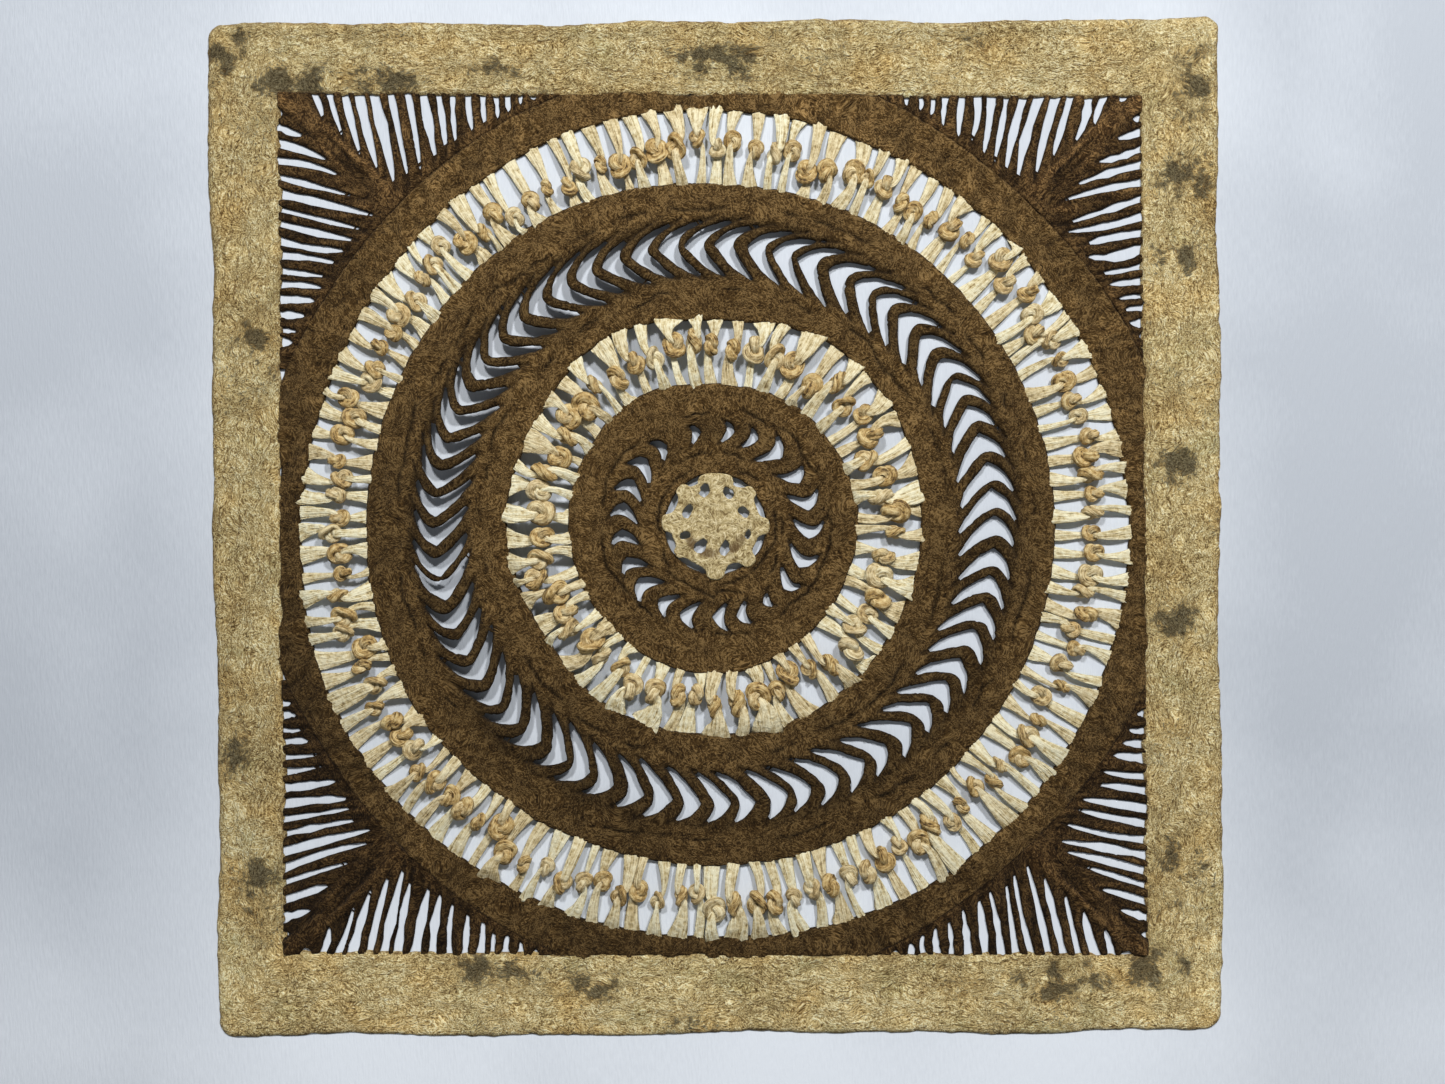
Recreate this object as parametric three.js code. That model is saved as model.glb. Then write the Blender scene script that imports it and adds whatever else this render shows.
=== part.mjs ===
// A square openwork panel of beaten bark paper, 600 mm across, lying flat with its face up.
// A tan border holds a round lace: a brown ring with a leaf spray in each corner, a course of
// knotted cream strips, a brown band pierced by chevrons, a second knotted course, a brown disc
// pierced by crescents, and a tan rosette. The paper is beaten on a board, so every piece has a
// flat back. The border lies on the surface, and the lace is lifted a little, most on its left.
//
// Millimetres, +Z up, +Y towards the panel's top. Headings are clockwise from +Y, seen from above,
// so heading, radius and height make a right-handed frame, like x, y and z of the unrolled lace.

import * as THREE from "three";

// Driving sizes of the whole panel.
const SHEET_SIDE = 600;
const BORDER_WIDTH = 45;
const JOINT = 0.3; // left between neighbouring pieces
const LACE_RISE = 14; // how far a fully lifted middle would stand off the surface
const RISE_RADIUS = 250; // where the lace starts to rise
// The lace is lifted more towards one heading: from a line past its middle, over a distance, from
// the least share of the rise to the most.
const RISE_SLOPE = { heading: 285, from: 40, over: 70, least: 0.22, most: 0.95 };
const SAG = { radius: 120, share: 0.5 }; // the middle of the lace sags by this share of its rise

// Thickness of each kind of paper.
const BORDER_EDGE = 1.6;
const BORDER_FOLD = 3.0;
const BORDER_FACE = 2.3;
const BROWN_PAPER = 2.4;
const SPRAY_PAPER = 2.0;
const ROSETTE_PAPER = 1.2;
const STRIP_ROOT = 1.1;

// Repeats round the lace.
const OUTER_STRIPS = 122;
const CHEVRONS = 61;
const INNER_STRIPS = 54;
const TURN = 2 * Math.PI;
const RAD = Math.PI / 180;

// Corners of the panel and of the border's opening, clockwise from the top left, about the centre
// of the lace. The real panel isn't quite square.
const OUTLINE = [
  [-0.502, 0.494],
  [0.497, 0.5],
  [0.501, -0.5],
  [-0.489, -0.506],
].map(([x, y]) => [x * SHEET_SIDE, y * SHEET_SIDE]);
const OPENING_SIDE = SHEET_SIDE - 2 * BORDER_WIDTH;
const OPENING = [
  [-0.507, 0.5],
  [0.493, 0.496],
  [0.501, -0.499],
  [-0.5, -0.498],
].map(([x, y]) => [x * OPENING_SIDE, y * OPENING_SIDE]);

// Radii of the lace's wavy joints, one row for every 30 degrees of heading.
const JOINT_RADII = [
  { ringIn: 246.5, bandOut: 200.2, bandIn: 121.0, discOut: 81.8 },
  { ringIn: 243.0, bandOut: 200.2, bandIn: 127.0, discOut: 83.6 },
  { ringIn: 243.0, bandOut: 199.2, bandIn: 125.2, discOut: 82.9 },
  { ringIn: 245.8, bandOut: 200.2, bandIn: 123.0, discOut: 83.6 },
  { ringIn: 248.1, bandOut: 200.2, bandIn: 123.0, discOut: 82.9 },
  { ringIn: 249.5, bandOut: 200.8, bandIn: 125.6, discOut: 85.2 },
  { ringIn: 245.8, bandOut: 201.0, bandIn: 125.2, discOut: 87.5 },
  { ringIn: 248.5, bandOut: 202.4, bandIn: 124.7, discOut: 86.7 },
  { ringIn: 251.7, bandOut: 207.2, bandIn: 120.6, discOut: 85.2 },
  { ringIn: 246.3, bandOut: 205.4, bandIn: 124.0, discOut: 85.9 },
  { ringIn: 244.1, bandOut: 204.4, bandIn: 121.8, discOut: 85.9 },
  { ringIn: 248.1, bandOut: 205.5, bandIn: 127.5, discOut: 86.5 },
];
const RING_OUT_CORNER = 267; // the ring's outer radius towards the panel's corners
const RING_OUT_SIDE = 275; // and towards its sides, where the border cuts it off

// Outline of one chevron gap: degrees of heading from its point, and radius.
const CHEVRON_GAP = [
  { name: "outer tip", turn: 9.0, radius: 180.5 },
  { name: "outer arm, back", turn: 3.6, radius: 175.5 },
  { name: "outer shoulder", turn: 0.9, radius: 170.0 },
  { name: "point", turn: 0.0, radius: 165.0 },
  { name: "inner shoulder", turn: 1.4, radius: 159.0 },
  { name: "inner arm, back", turn: 5.0, radius: 151.0 },
  { name: "inner tip", turn: 10.0, radius: 144.5 },
  { name: "inner arm, front", turn: 7.0, radius: 151.5 },
  { name: "inner bend", turn: 4.9, radius: 158.5 },
  { name: "crotch", turn: 3.7, radius: 165.5 },
  { name: "outer bend", turn: 4.4, radius: 171.0 },
  { name: "outer arm, front", turn: 6.3, radius: 175.8 },
];
// The outer arms reach further round towards the top left.
const CHEVRON_SWEEP = { at: 335, more: 0.35 };

// Outline of one crescent gap, in the same terms, then the heading of each gap's point and its size.
const CRESCENT_GAP = [
  { name: "outer tip", turn: -11.0, radius: 64.5 },
  { name: "outer arm, front", turn: -3.0, radius: 61.0 },
  { name: "point", turn: 0.0, radius: 55.5 },
  { name: "inner arm, front", turn: -4.5, radius: 49.5 },
  { name: "inner tip", turn: -14.5, radius: 44.5 },
  { name: "inner arm, back", turn: -10.2, radius: 49.5 },
  { name: "crotch", turn: -7.2, radius: 55.0 },
  { name: "outer arm, back", turn: -7.8, radius: 60.0 },
];
const CRESCENTS = [
  { at: 12, size: 0.75 },
  { at: 27, size: 0.75 },
  { at: 45, size: 1.1 },
  { at: 64, size: 1 },
  { at: 81, size: 1.05 },
  { at: 99, size: 1.1 },
  { at: 117, size: 1.05 },
  { at: 134, size: 0.95 },
  { at: 149, size: 0.6 },
  { at: 167, size: 0.8 },
  { at: 182, size: 0.95 },
  { at: 202, size: 1 },
  { at: 217, size: 0.95 },
  { at: 235, size: 1.1 },
  { at: 250, size: 0.95 },
  { at: 267, size: 0.9 },
  { at: 283, size: 0.95 },
  { at: 299, size: 1 },
  { at: 314, size: 1 },
  { at: 329, size: 0.8 },
  { at: 351, size: 0.65 },
];

// The two knotted courses. Widths are half widths, in the order root, neck, knot, neck, root.
const OUTER_COURSE = {
  strips: OUTER_STRIPS,
  outer: "ringIn",
  inner: "bandOut",
  knotRadius: 223.5,
  rootShare: 0.39, // of the pitch
  neck: 2.1,
  knot: 4.5,
  hoop: 2.6,
  pairs: false,
};
const INNER_COURSE = {
  strips: INNER_STRIPS,
  outer: "bandIn",
  inner: "discOut",
  knotRadius: 103.5,
  rootShare: 0.41,
  neck: 2.4,
  knot: 4.7,
  hoop: 2.4,
  pairs: true, // every second gap is left closed
};
const NECK_HEIGHT = 1.8;
const KNOT_HEIGHT = 5.6;
const WEB_HEIGHT = 0.9;

// The corner sprays: a stem along the diagonal, a root strip along the ring, and leaflets.
const SPRAY = {
  rootWidth: 5,
  stemHalfWidth: 10, // at the ring
  stemTip: 5, // half width at the corner
  notchesPerSide: 7,
  notchShare: 0.42, // of the leaflets' pitch
  lean: 0.2, // sideways run of a leaflet for each mm out, towards the corner
  cornerClear: 20, // no notch this near the corner
};

// The rosette over the disc's hole.
const HOLE_RADIUS = 29.7;
const HOLE_SIDES = 28;
const ROSETTE = { tabs: 8, body: 27.5, waist: 25.5, tabLength: 32.5, tabHalf: 8, holeAt: 15, holeHalf: 3 };
const ROSETTE_SEAT = 0.4; // above the disc's face

const PAPER = {
  tan: new THREE.MeshStandardMaterial({ color: 0xb99a5c, roughness: 0.9, metalness: 0 }),
  brown: new THREE.MeshStandardMaterial({ color: 0x4a3320, roughness: 0.95, metalness: 0 }),
  cream: new THREE.MeshStandardMaterial({ color: 0xdcc68c, roughness: 0.85, metalness: 0 }),
  rosette: new THREE.MeshStandardMaterial({ color: 0xb08f5a, roughness: 0.9, metalness: 0 }),
};

const lerp = (a, b, t) => a + (b - a) * t;
const mix = (p, q, t) => [lerp(p[0], q[0], t), lerp(p[1], q[1], t)];
const polar = (radius, heading, z = 0) => [radius * Math.sin(heading), radius * Math.cos(heading), z];

// A steady, uneven value from -1 to 1 for each whole number and kind.
function uneven(index, kind) {
  const wave = Math.sin(index * 12.9898 + kind * 78.233) * 43758.5453;
  return 2 * (wave - Math.floor(wave)) - 1;
}

// Radius of a joint at a heading, on a smooth closed curve through its rows.
function jointRadius(name, heading) {
  const rows = JOINT_RADII.length;
  const place = ((heading / TURN) * rows + rows) % rows;
  const start = Math.floor(place);
  const t = place - start;
  const [a, b, c, d] = [-1, 0, 1, 2].map((k) => JOINT_RADII[(start + k + rows) % rows][name]);
  return 0.5 * (2 * b + (c - a) * t + (2 * a - 5 * b + 4 * c - d) * t * t + (3 * b - a - 3 * c + d) * t * t * t);
}

// Distance from the lace's centre to the border's opening along a heading.
function openingRadius(heading) {
  const [dx, dy] = polar(1, heading);
  const hits = OPENING.map(([ax, ay], k) => {
    const [bx, by] = OPENING[(k + 1) % OPENING.length];
    const [sx, sy] = [bx - ax, by - ay];
    const cross = dx * sy - dy * sx;
    return (ax * sy - ay * sx) / cross;
  });
  return Math.min(...hits.filter((reach) => reach > 0));
}

const ringOuterRadius = (heading) =>
  lerp(RING_OUT_CORNER, RING_OUT_SIDE, 0.5 + 0.5 * Math.cos(4 * heading)) + 0.8 * Math.sin(7 * heading);

function rise(x, y) {
  const [towardsX, towardsY] = polar(1, RISE_SLOPE.heading * RAD);
  const past = x * towardsX + y * towardsY - RISE_SLOPE.from;
  const share = lerp(RISE_SLOPE.least, RISE_SLOPE.most, 0.5 + 0.5 * Math.tanh(past / RISE_SLOPE.over));
  const radius = Math.hypot(x, y);
  const sagged = 1 - SAG.share * Math.exp(-((radius / SAG.radius) ** 4));
  return LACE_RISE * share * sagged * Math.max(0, 1 - (radius / RISE_RADIUS) ** 2);
}

// Collects a closed surface's triangles, counterclockwise seen from outside.
class Surface {
  constructor() {
    this.corners = [];
  }

  triangle(a, b, c) {
    this.corners.push(...a, ...b, ...c);
  }

  quad(a, b, c, d) {
    this.triangle(a, b, c);
    this.triangle(a, c, d);
  }

  // Faces between two rows of points, the second to the right of the first, seen from outside.
  ribbon(left, right) {
    for (let k = 0; k + 1 < left.length; k++) this.quad(left[k], left[k + 1], right[k + 1], right[k]);
  }

  geometry() {
    const position = new THREE.Float32BufferAttribute(this.corners, 3);
    return new THREE.BufferGeometry().setAttribute("position", position);
  }
}

// A named piece, its lace-side points raised with the lace.
function piece(name, geometry, material) {
  const position = geometry.getAttribute("position");
  for (let k = 0; k < position.count; k++) {
    const lifted = position.getZ(k) + rise(position.getX(k), position.getY(k));
    position.setZ(k, lifted);
  }
  geometry.computeVertexNormals();
  const mesh = new THREE.Mesh(geometry, material);
  mesh.name = name;
  return mesh;
}

// A flat piece cut to a clockwise outline, with holes.
function cutPaper(outline, holes, thickness) {
  const toVectors = (points) => points.map(([x, y]) => new THREE.Vector2(x, y));
  const shape = new THREE.Shape(toVectors(outline).reverse());
  shape.holes = holes.map((hole) => new THREE.Path(toVectors(hole)));
  return new THREE.ExtrudeGeometry(shape, { depth: thickness, bevelEnabled: false, steps: 1 });
}

// A strip that closes on itself, from one section of points at each station, clockwise round the
// panel. Each section runs down the inner edge, out along the back, up and in along the face.
function closedStrip(stations) {
  const surface = new Surface();
  stations.forEach((section, i) => {
    const next = stations[(i + 1) % stations.length];
    surface.ribbon([...section, section[0]], [...next, next[0]]);
  });
  return surface.geometry();
}

// The border, with its outer edge folded over onto its face.
function border() {
  const CORNER_PULL = 3.3;
  const FOLD_CROWN = 0.1; // share of the width from the outer edge
  const FOLD_FOOT = 0.3;
  const places = [0, 0.014, 0.08, 0.16, 0.25, 0.33, 0.41, 0.5, 0.59, 0.67, 0.75, 0.84, 0.92, 0.986];
  const ragged = (side, t) =>
    (t > 0 ? 1 : 0) * (0.9 * Math.sin(TURN * (2.3 * t + 0.37 * side)) + 0.6 * Math.sin(TURN * (5.2 * t + 0.61 * side)));
  const stations = OUTLINE.flatMap((from, side) => {
    const to = OUTLINE[(side + 1) % OUTLINE.length];
    const along = [to[0] - from[0], to[1] - from[1]].map((v) => v / SHEET_SIDE);
    return places.map((t) => {
      const inner = mix(OPENING[side], OPENING[(side + 1) % OPENING.length], t);
      let outer = mix(from, to, t);
      outer = [outer[0] + along[1] * -ragged(side, t), outer[1] + along[0] * ragged(side, t)];
      if (t === 0) outer = mix(outer, inner, CORNER_PULL / (BORDER_WIDTH * Math.SQRT2));
      const crown = mix(outer, inner, FOLD_CROWN);
      const foot = mix(outer, inner, FOLD_FOOT);
      return [
        [...inner, BORDER_FACE],
        [...inner, 0],
        [...outer, 0],
        [...outer, BORDER_EDGE],
        [...crown, BORDER_FOLD],
        [...foot, BORDER_FACE],
      ];
    });
  });
  return piece("border", closedStrip(stations), PAPER.tan);
}

// The brown ring that the border cuts off at its four sides.
function outerRing() {
  const stations = Array.from({ length: OUTER_STRIPS }, (_, i) => {
    const heading = (i / OUTER_STRIPS) * TURN;
    const inner = jointRadius("ringIn", heading) + JOINT / 2;
    const outer = Math.min(ringOuterRadius(heading), openingRadius(heading) - JOINT);
    return [
      polar(inner, heading, BROWN_PAPER),
      polar(inner, heading),
      polar(outer, heading),
      polar(outer, heading, BROWN_PAPER),
    ];
  });
  return piece("outer_ring", closedStrip(stations), PAPER.brown);
}

// One corner's spray. Its back edge follows the ring, and its leaflets end at the border.
function cornerSpray(name, corner) {
  const { rootWidth, stemHalfWidth, stemTip, notchesPerSide, notchShare, lean, cornerClear } = SPRAY;
  const tip = OPENING[corner];
  const diagonal = Math.atan2(tip[0], tip[1]);
  const stemLength = Math.hypot(...tip) - RING_OUT_CORNER;

  // The back edge shares the ring's even headings, as far as there is room for the root strip.
  const nearest = Math.round((diagonal / TURN) * OUTER_STRIPS);
  const reach = Math.round(OUTER_STRIPS / 8);
  const back = Array.from({ length: 2 * reach + 1 }, (_, k) => ((nearest + k - reach) / OUTER_STRIPS) * TURN)
    .filter((heading) => openingRadius(heading) - ringOuterRadius(heading) > rootWidth)
    .map((heading) => polar(ringOuterRadius(heading) + JOINT, heading).slice(0, 2));

  // Edge points along one side of the border, from the ring's end to the tip.
  const sideEdge = (backEnd, neighbour) => {
    const run = [neighbour[0] - tip[0], neighbour[1] - tip[1]];
    const length = Math.hypot(...run);
    const along = run.map((v) => v / length);
    const turned = [-along[1], along[0]];
    const inwardSign = Math.sign(-turned[0] * tip[0] - turned[1] * tip[1]);
    const at = (u, v) => [0, 1].map((k) => tip[k] + along[k] * u + turned[k] * inwardSign * v);
    const isOpen = (u, v) => {
      const [x, y] = at(u, v);
      const heading = Math.atan2(x, y);
      const onStem = Math.min(1, (u + v) / Math.SQRT2 / stemLength);
      const stem = lerp(stemTip, stemHalfWidth, onStem) * Math.SQRT2;
      return u - v > stem && Math.hypot(x, y) > ringOuterRadius(heading) + rootWidth;
    };
    const footOf = (u) => {
      let v = JOINT;
      while (isOpen(u + lean * v, v)) v += 0.5;
      return [u + lean * v, v];
    };
    const end = (backEnd[0] - tip[0]) * along[0] + (backEnd[1] - tip[1]) * along[1];
    const pitch = (end - cornerClear) / notchesPerSide;
    const half = (pitch * notchShare) / 2;
    const notches = Array.from({ length: notchesPerSide }, (_, k) => {
      const u = end - pitch * (k + 0.85 + 0.08 * uneven(k + 7 * corner, 10));
      const [right, left] = [footOf(u + half * 0.7), footOf(u - half * 0.7)];
      return [at(u + half, JOINT), at(...right), at(...left), at(u - half, JOINT)];
    });
    return [at(end, JOINT), ...notches.flat()];
  };
  const before = OPENING[(corner + 3) % 4];
  const after = OPENING[(corner + 1) % 4];
  const tipInside = tip.map((v) => v - Math.sign(v) * JOINT);
  const early = sideEdge(back[0], before);
  const late = sideEdge(back[back.length - 1], after).reverse();
  return piece(name, cutPaper([...early, tipInside, ...late, ...back.reverse()], [], SPRAY_PAPER), PAPER.brown);
}

// One knotted course: strips from an outer hoop to an inner one, each with its knot.
function knottedCourse(name, course) {
  const { strips, pairs } = course;
  const pitch = TURN / strips;
  const surface = new Surface();

  const strip = (i) => {
    const middle = (i + 0.1 * uneven(i, 1)) * pitch;
    const knotAt = course.knotRadius + 3 * uneven(i, 2);
    const rootOut = jointRadius(course.outer, middle) - JOINT / 2 - course.hoop;
    const rootIn = jointRadius(course.inner, middle) + JOINT / 2 + course.hoop;
    const size = 1 + 0.12 * uneven(i, 3);
    const rows = [
      { radius: rootOut, half: course.rootShare * pitch * rootOut, height: STRIP_ROOT },
      { radius: lerp(knotAt, rootOut, 0.42), half: course.neck, height: NECK_HEIGHT },
      { radius: knotAt, half: course.knot * size, height: KNOT_HEIGHT * size },
      { radius: lerp(knotAt, rootIn, 0.42), half: course.neck, height: NECK_HEIGHT },
      { radius: rootIn, half: course.rootShare * pitch * rootIn, height: STRIP_ROOT },
    ];
    const at = ({ radius, half }, share, z) => polar(radius, middle + (share * half) / radius, z);
    return {
      backLeft: rows.map((row) => at(row, -1, 0)),
      left: rows.map((row) => at(row, -0.7, row.height)),
      right: rows.map((row) => at(row, 0.7, row.height)),
      backRight: rows.map((row) => at(row, 1, 0)),
      radii: rows.map((row) => row.radius),
    };
  };
  const all = Array.from({ length: strips }, (_, i) => strip(i));

  // The edge points of a hoop lie at even headings, which the neighbouring ring shares.
  const hoopEdge = (joint, offset, z) => (i) => {
    const heading = ((i % strips) / strips) * TURN;
    return polar(jointRadius(joint, heading) + offset, heading, z);
  };

  all.forEach((one, i) => {
    const next = all[(i + 1) % strips];
    const joined = pairs && i % 2 === 0;
    const last = one.radii.length - 1;
    surface.ribbon(one.left, one.right);
    surface.ribbon(one.backRight, one.backLeft);
    if (joined) {
      const valley = one.radii.map((radius) => polar(radius, (i + 0.5) * pitch, WEB_HEIGHT));
      surface.ribbon(one.right, valley);
      surface.ribbon(valley, next.left);
      surface.ribbon(next.backLeft, one.backRight);
      surface.triangle(valley[0], next.left[0], one.right[0]);
      surface.triangle(valley[last], one.right[last], next.left[last]);
    } else {
      surface.ribbon(one.right, one.backRight);
      surface.ribbon(next.backLeft, next.left);
      surface.quad(one.backRight[0], next.backLeft[0], next.left[0], one.right[0]);
      surface.quad(next.backLeft[last], one.backRight[last], one.right[last], next.left[last]);
    }
    for (const { joint, offset, row, turned } of [
      { joint: course.outer, offset: -JOINT / 2, row: 0, turned: false },
      { joint: course.inner, offset: JOINT / 2, row: last, turned: true },
    ]) {
      const face = (a, b, c) => (turned ? surface.triangle(a, c, b) : surface.triangle(a, b, c));
      const top = hoopEdge(joint, offset, STRIP_ROOT);
      const back = hoopEdge(joint, offset, 0);
      face(top(i), one.left[row], one.right[row]);
      face(top(i), one.right[row], top(i + 1));
      face(top(i + 1), one.right[row], next.left[row]);
      face(back(i), one.backRight[row], one.backLeft[row]);
      face(back(i), back(i + 1), one.backRight[row]);
      face(back(i + 1), next.backLeft[row], one.backRight[row]);
      face(back(i + 1), back(i), top(i));
      face(back(i + 1), top(i), top(i + 1));
    }
  });
  return piece(name, surface.geometry(), PAPER.cream);
}

// Points of a joint at a course's even headings, moved in or out by half the joint.
function jointLine(name, count, offset) {
  return Array.from({ length: count }, (_, i) => {
    const heading = (i / count) * TURN;
    return polar(jointRadius(name, heading) + offset, heading).slice(0, 2);
  });
}

// The outline of one chevron gap, a little out of place.
function chevronGap(index) {
  const middle = CHEVRON_GAP.find(({ name }) => name === "point").radius;
  const reach = CHEVRON_GAP[0].radius - middle;
  const start = (360 / CHEVRONS) * (index + 0.08 * uneven(index, 4));
  const stretch = 1 + 0.05 * uneven(index, 5);
  const sweep = CHEVRON_SWEEP.more * Math.cos((start - CHEVRON_SWEEP.at) * RAD);
  return CHEVRON_GAP.map(({ turn, radius }) => {
    const outward = Math.max(0, (radius - middle) / reach);
    const turned = start + turn * stretch * (1 + sweep * outward);
    return polar(radius + 0.3 * sweep * reach * outward, turned * RAD).slice(0, 2);
  });
}

function crescentGap({ at, size }) {
  const middle = CRESCENT_GAP.find(({ name }) => name === "crotch").radius;
  return CRESCENT_GAP.map(({ turn, radius }) =>
    polar(middle + (radius - middle) * size, (at + turn * size) * RAD).slice(0, 2),
  );
}

function chevronBand() {
  const outline = jointLine("bandOut", OUTER_STRIPS, -JOINT / 2);
  const middle = jointLine("bandIn", INNER_STRIPS, JOINT / 2);
  const gaps = Array.from({ length: CHEVRONS }, (_, i) => chevronGap(i));
  return piece("chevron_band", cutPaper(outline, [middle, ...gaps], BROWN_PAPER), PAPER.brown);
}

function centreDisc() {
  const outline = jointLine("discOut", INNER_STRIPS, -JOINT / 2);
  const hole = Array.from({ length: HOLE_SIDES }, (_, i) =>
    polar(HOLE_RADIUS, (i / HOLE_SIDES) * TURN).slice(0, 2),
  );
  const gaps = CRESCENTS.map(crescentGap);
  return piece("centre_disc", cutPaper(outline, [hole, ...gaps], BROWN_PAPER), PAPER.brown);
}

// The rosette lies on the disc by the ends of its tabs.
function rosette() {
  const { tabs, body, waist, tabLength, tabHalf, holeAt, holeHalf } = ROSETTE;
  const pitch = 360 / tabs;
  const outline = Array.from({ length: tabs }, (_, i) => {
    const reach = tabLength + 1.2 * uneven(i, 8);
    const half = tabHalf * (1 + 0.25 * uneven(i, 9));
    return [
      [i * pitch - half * 1.4, body],
      [i * pitch - half, reach],
      [i * pitch + half, reach],
      [i * pitch + half * 1.4, body],
      [(i + 0.5) * pitch, waist],
    ].map(([turn, radius]) => polar(radius, turn * RAD).slice(0, 2));
  }).flat();
  const holes = Array.from({ length: tabs }, (_, i) => {
    const [x, y] = polar(holeAt, (i + 0.5) * pitch * RAD);
    return [0, 1, 2, 3, 4, 5].map((k) => {
      const [dx, dy] = polar(holeHalf, (k / 6) * TURN);
      return [x + dx, y + dy];
    });
  });
  const paper = cutPaper(outline, holes, ROSETTE_PAPER);
  return piece("rosette", paper.translate(0, 0, BROWN_PAPER + ROSETTE_SEAT), PAPER.rosette);
}

const panel = new THREE.Group();
panel.add(border());
panel.add(outerRing());
panel.add(cornerSpray("spray_top_left", 0));
panel.add(cornerSpray("spray_top_right", 1));
panel.add(cornerSpray("spray_bottom_right", 2));
panel.add(cornerSpray("spray_bottom_left", 3));
panel.add(knottedCourse("outer_knotted_course", OUTER_COURSE));
panel.add(chevronBand());
panel.add(knottedCourse("inner_knotted_course", INNER_COURSE));
panel.add(centreDisc());
panel.add(rosette());

// The origin is the middle of the panel's back.
const box = new THREE.Box3().setFromObject(panel);
panel.position.set(-(box.min.x + box.max.x) / 2, -(box.min.y + box.max.y) / 2, 0);

export default panel;
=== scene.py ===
import math

import bpy
import numpy as np
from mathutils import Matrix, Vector


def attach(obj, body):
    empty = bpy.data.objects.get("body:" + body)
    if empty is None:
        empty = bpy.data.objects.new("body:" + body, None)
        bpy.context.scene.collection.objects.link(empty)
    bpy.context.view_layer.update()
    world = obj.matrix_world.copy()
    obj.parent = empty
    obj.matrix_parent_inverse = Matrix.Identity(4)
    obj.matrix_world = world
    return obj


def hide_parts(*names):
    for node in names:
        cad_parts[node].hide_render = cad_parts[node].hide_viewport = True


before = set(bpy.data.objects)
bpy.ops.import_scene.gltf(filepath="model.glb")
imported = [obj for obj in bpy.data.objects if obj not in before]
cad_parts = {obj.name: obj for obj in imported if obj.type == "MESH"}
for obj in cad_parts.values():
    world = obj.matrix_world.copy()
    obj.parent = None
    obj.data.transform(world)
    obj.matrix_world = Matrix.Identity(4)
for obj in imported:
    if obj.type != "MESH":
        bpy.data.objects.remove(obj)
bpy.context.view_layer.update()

# The dressed look of the openwork bark paper panel. Sizes are in millimetres about the centre of
# the lace and become metres when a mesh is made. Headings are clockwise from the panel's top.

TURN = 2 * math.pi
SHEET_SIDE = 600
BORDER_WIDTH = 45
OPENING_SIDE = SHEET_SIDE - 2 * BORDER_WIDTH
OVERLAP = 1.2  # how far brown paper covers the roots of the strips

# The lace stands off the surface inside RISE_RADIUS. It is lifted more towards one heading, from a
# line past its middle, over a distance, from the least share of the rise to the most. Its middle
# sags by a share of its rise.
LACE_RISE = 14
RISE_RADIUS = 250
RISE_HEADING, RISE_FROM, RISE_OVER = 285, 40, 70
RISE_LEAST, RISE_MOST = 0.22, 0.95
SAG_RADIUS, SAG_SHARE = 120, 0.5

# Corners of the panel and of its opening, clockwise from the top left, in shares of their sides,
# and where the solid's outer edge has its points, in shares of each side.
OUTLINE = SHEET_SIDE * np.array([(-0.502, 0.494), (0.497, 0.5), (0.501, -0.5), (-0.489, -0.506)])
OPENING = OPENING_SIDE * np.array([(-0.507, 0.5), (0.493, 0.496), (0.501, -0.499), (-0.5, -0.498)])
EDGE_POINTS = (0.014, 0.08, 0.16, 0.25, 0.33, 0.41, 0.5, 0.59, 0.67, 0.75, 0.84, 0.92, 0.986)

# Radii of the wavy joints, one row for every 30 degrees of heading.
JOINT_RADII = {
    "ringIn": (246.5, 243.0, 243.0, 245.8, 248.1, 249.5, 245.8, 248.5, 251.7, 246.3, 244.1, 248.1),
    "bandOut": (200.2, 200.2, 199.2, 200.2, 200.2, 200.8, 201.0, 202.4, 207.2, 205.4, 204.4, 205.5),
    "bandIn": (121.0, 127.0, 125.2, 123.0, 123.0, 125.6, 125.2, 124.7, 120.6, 124.0, 121.8, 127.5),
    "discOut": (81.8, 83.6, 82.9, 83.6, 82.9, 85.2, 87.5, 86.7, 85.2, 85.9, 85.9, 86.5),
}
RING_OUT_CORNER = 267
RING_OUT_SIDE = 275

# One chevron gap and one crescent gap: degrees of heading from the point, and radius.
CHEVRON_GAP = {
    "outer tip": (9.0, 180.5),
    "outer arm, back": (3.6, 175.6),
    "outer shoulder": (1.2, 170.2),
    "point": (0.0, 165.0),
    "inner shoulder": (1.45, 159.2),
    "inner arm, back": (4.4, 151.2),
    "inner heel": (7.4, 146.6),
    "inner tip": (10.0, 144.2),
    "inner arm, front": (7.2, 151.2),
    "inner bend": (4.9, 158.5),
    "crotch": (3.7, 165.5),
    "outer bend": (4.4, 171.0),
    "outer arm, front": (6.3, 175.8),
}
CRESCENT_GAP = {
    "outer tip": (-11.0, 64.5),
    "outer arm, front": (-3.0, 61.0),
    "point": (0.0, 55.5),
    "inner arm, front": (-4.5, 49.5),
    "inner tip": (-14.5, 44.5),
    "inner arm, back": (-10.2, 49.5),
    "crotch": (-7.2, 55.0),
    "outer arm, back": (-7.8, 60.0),
}
CHEVRONS = 61
SWEEP_HEADING, SWEEP = 335, 0.35  # where the chevrons' outer arms reach furthest round, and how far
UNEVEN = 0.35  # how far a gap's points stray from its shape
ARC_DEGREES = 57  # the heading that an arc as long as its radius takes up

# The crescent gaps: the heading of each one's point, and its size.
CRESCENTS = {
    12: 0.75, 27: 0.75, 45: 1.1, 64: 1.0, 81: 1.05, 99: 1.1, 117: 1.05, 134: 0.95, 149: 0.6, 167: 0.8,
    182: 0.95, 202: 1.0, 217: 0.95, 235: 1.1, 250: 0.95, 267: 0.9, 283: 0.95, 299: 1.0, 314: 1.0,
    329: 0.8, 351: 0.65,
}
DISC_HOLE = 29.7  # the radius of the hole in the disc

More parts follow.
